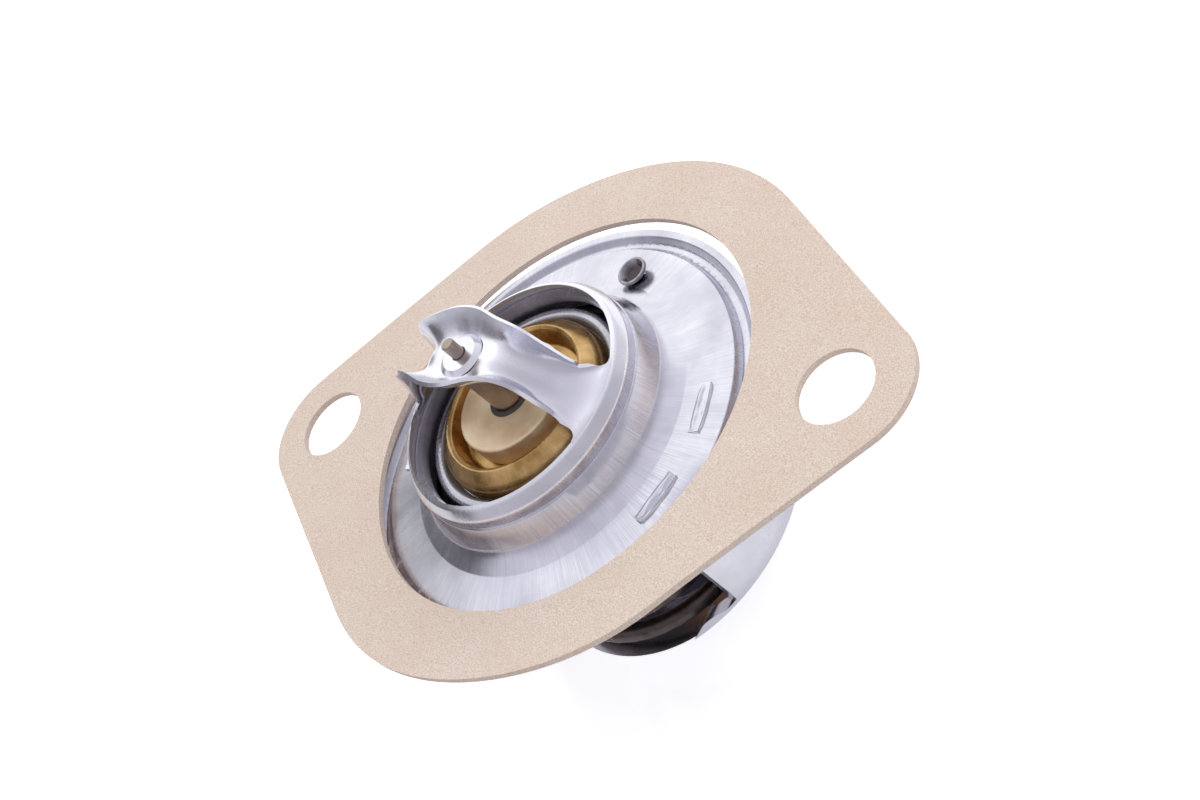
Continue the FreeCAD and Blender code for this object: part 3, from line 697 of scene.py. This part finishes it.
shape = bmesh.new()
shape.from_mesh(nodes["gasket"].data)
bmesh.ops.remove_doubles(shape, verts=shape.verts, dist=join_distance)
low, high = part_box("gasket")
for side, across in enumerate((Vector((1, 0, 0)), Vector((0, 1, 0)))):
    for step in range(1, int((high[side] - low[side]) / grid_step) + 1):
        geometry = shape.verts[:] + shape.edges[:] + shape.faces[:]
        bmesh.ops.bisect_plane(shape, geom=geometry, dist=0.0001 * mm, plane_no=across,
                               plane_co=across * (low[side] + step * grid_step))
for vert in shape.verts:
    vert.co.z += paper_offset(vert.co.x / mm, vert.co.y / mm) * mm
for face in shape.faces:
    face.smooth = True
for edge in shape.edges:
    edge.smooth = edge.calc_face_angle(0.0) < cut_edge_angle
shape.normal_update()
rim_faces = [(face.calc_center_median(), face.normal.copy()) for face in shape.faces
             if abs(face.normal.z) < 0.5]
gasket_piece = finished_piece("gasket_sheet", shape, gasket_paper)
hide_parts("gasket")

# %% [markdown]
# ## Fuzz on the paper's cut edge
# A punch tears paper more than it cuts it, so short pale fibres stand out all along the edge, and
# a few long ones hang over the hole. Hair curves could do this, but small meshes export as they
# are. Each is a thin three-sided rod that is extruded three times and leans a little further each
# time. The random choices have a fixed seed, so every run is the same.

# %% Grow one fibre
chance = random.Random(7)
hair_mesh = bpy.data.meshes.new("one hair")
lean = 0.35


def grow_fibre(whole, place, way, length, width):
    """Add to the whole one tapered, bent hair that starts at place and points along way."""
    shape = bmesh.new()
    turn = way.to_track_quat("Z", "Y").to_matrix().to_4x4()
    made = bmesh.ops.create_circle(shape, cap_ends=True, segments=3, radius=width / 2,
                                   matrix=Matrix.Translation(place) @ turn)
    tip = [face for face in made["verts"][0].link_faces]
    heading = way.copy()
    for share in (0.7, 0.6, 0.3):
        grown = bmesh.ops.extrude_face_region(shape, geom=tip)
        bend = Vector((chance.uniform(-1, 1), chance.uniform(-1, 1), chance.uniform(-1, 1)))
        heading = (heading + lean * bend).normalized()
        verts = [v for v in grown["geom"] if isinstance(v, bmesh.types.BMVert)]
        tip = [f for f in grown["geom"] if isinstance(f, bmesh.types.BMFace)]
        middle = sum((v.co for v in verts), Vector()) / 3
        bmesh.ops.scale(shape, verts=verts, vec=(share, share, share), space=Matrix.Translation(-middle))
        bmesh.ops.translate(shape, verts=verts, vec=heading * length / 3)
    shape.to_mesh(hair_mesh)
    shape.free()
    whole.from_mesh(hair_mesh)


print("seed 7, lean %.2f" % lean)

# %% Cover the cut edge
short_fibres, long_fibres = 900, 26
root_depth = 0.05 * mm
half_paper = 0.38

shape = bmesh.new()
for spot, normal in chance.choices(rim_faces, k=short_fibres):
    jitter = Vector((chance.uniform(-1, 1), chance.uniform(-1, 1), chance.uniform(-0.6, 0.6)))
    way = (normal + 0.8 * jitter).normalized()
    place = spot + Vector((0, 0, chance.uniform(-half_paper, half_paper) * mm)) - normal * root_depth
    grow_fibre(shape, place, way, chance.uniform(0.12, 0.40) * mm, chance.uniform(0.03, 0.06) * mm)
frayed = [(spot, normal) for spot, normal in rim_faces
          if spot.x < -8 * mm and spot.y < -14 * mm and spot.length < 27 * mm]
for spot, normal in chance.choices(frayed, k=long_fibres):
    jitter = Vector((chance.uniform(-1, 1), chance.uniform(-1, 1), chance.uniform(-0.2, 0.8)))
    way = (normal + 0.6 * jitter).normalized()
    grow_fibre(shape, spot - normal * root_depth, way, chance.uniform(0.6, 1.9) * mm, 0.05 * mm)
bmesh.ops.recalc_face_normals(shape, faces=shape.faces)
fuzz = finished_piece("gasket_fuzz", shape, gasket_paper)

# %% [markdown]
# ## Return spring
# The CAD spring is a chain of short straight pieces. The real wire is drawn smooth, and each end
# is wound flat to sit on the frame and under the valve plate. A curve with a bevel would do, but
# spinning one round section, a little higher at each step, gives a mesh with even faces. When the
# valve opens, the real spring flattens towards the ledge that it stands on; this piece keeps one
# length and rides on the housing.

# %% Wind the spring
wire_r, coil_r = 1.1 * mm, 15.2 * mm
turns = 5.5
steps_per_turn = 48
round_steps = 20
spring_low, spring_high = -20.25 * mm, -2.15 * mm
end_rise = 2.04 * wire_r


def wire_height(turn):
    """Height of the wire's middle after so many turns; the first and last turn lie nearly flat."""
    if turn < 1:
        return spring_low + end_rise * turn * turn / 2
    if turn > turns - 1:
        return spring_high - end_rise * (turns - turn) ** 2 / 2
    return spring_low + end_rise / 2 + (spring_high - spring_low - end_rise) * (turn - 1) / (turns - 2)


shape = bmesh.new()
upright = Matrix.Translation((coil_r, 0, spring_low)) @ Matrix.Rotation(math.radians(90), 4, "X")
bmesh.ops.create_circle(shape, cap_ends=True, segments=round_steps, radius=wire_r, matrix=upright)
edge_ring = shape.edges[:]
for step in range(int(turns * steps_per_turn)):
    rise = wire_height((step + 1) / steps_per_turn) - wire_height(step / steps_per_turn)
    spun = bmesh.ops.spin(shape, geom=edge_ring, cent=(0, 0, 0), axis=(0, 0, 1), dvec=(0, 0, rise),
                          angle=math.tau / steps_per_turn, steps=1, use_merge=False, use_duplicate=False)
    edge_ring = [item for item in spun["geom_last"] if isinstance(item, bmesh.types.BMEdge)]
bmesh.ops.contextual_create(shape, geom=edge_ring)
bmesh.ops.recalc_face_normals(shape, faces=shape.faces)
for face in shape.faces:
    face.smooth = len(face.verts) == 4
spring = finished_piece("return_spring", shape, spring_wire)
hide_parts("main_spring")
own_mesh(spring)

# %% [markdown]
# ## Staked tabs
# Four tabs of the lower frame come up through slots in the flange, and a punch spreads each tab's
# end over its slot. That leaves a bright pad with round ends, a groove down its middle where the
# punch struck, and uneven lumps on both sides. Each pad is a flat grid that is narrowed at its
# ends, raised by a smooth rule and bent down at its edge to meet the flange.

# %% Press the four stakes
tab_turns = (-26.5, 3.5, 153.5, 183.5)
tab_middle_r = 21.05 * mm
pad_length, pad_width = 6.5 * mm, 1.95 * mm
pad_rise, skirt = 0.30 * mm, 0.10 * mm
groove_depth, groove_width = 0.55, 0.38
ring_top = 0.96 * mm
ring_lean = math.atan(0.95 / 5.45)

shape = bmesh.new()
for number, turn in enumerate(tab_turns):
    pad = bmesh.ops.create_grid(shape, x_segments=60, y_segments=18, size=1.0)["verts"]
    for vert in pad:
        u, v = vert.co.x, vert.co.y
        uneven = 1 + 0.05 * noise.noise(Vector((u * 2, v, number * 9.0)))
        width = (1 - 0.97 * abs(u) ** 4) ** 0.5 * uneven
        edge = max(abs(u) ** 8, abs(v) ** 4)
        lumps = noise.noise(Vector((u * 2.2, v * 0.7, number * 5.0)))
        groove = groove_depth * math.exp(-(v / groove_width) ** 2) * (1 - u ** 4)
        rise = pad_rise * (1 - edge) * (1.0 + 0.5 * lumps - groove)
        vert.co = Vector((v * width * pad_width / 2, u * pad_length / 2, rise - skirt * edge))
    place = (Matrix.Rotation(math.radians(turn), 4, "Z") @ Matrix.Translation((tab_middle_r, 0, ring_top))
             @ Matrix.Rotation(ring_lean, 4, "Y"))
    bmesh.ops.transform(shape, verts=pad, matrix=place)
for face in shape.faces:
    face.smooth = True
stakes = finished_piece("stake_pads", shape, pad_steel)

# %% [markdown]
# ## Finishes on the nodes
# Every other CAD solid already has its right shape, so it keeps it and only takes a material in
# its own slot. The two solids that a finer piece replaces get theirs as well.

# %% Give each node its finish
finishes = {
    "flange": flange_steel, "bridge": bridge_steel, "lower_frame": frame_steel,
    "valve_plate": plate_steel, "valve_seal": seal_rubber, "valve_hub": hub_brass,
    "wax_cup": cup_brass, "piston_guide": guide_brass, "lip_ring": lip_rubber,
    "rubber_boot": boot_rubber, "wax_charge": copper_wax, "piston": piston_steel,
    "main_spring": spring_wire, "vent_pin": pin_steel, "vent_bob": pin_steel,
    "gasket": gasket_paper,
}
for name, finish in finishes.items():
    slots = nodes[name].data.materials
    slots.clear()
    slots.append(finish)
print("finishes on", len(finishes), "nodes")
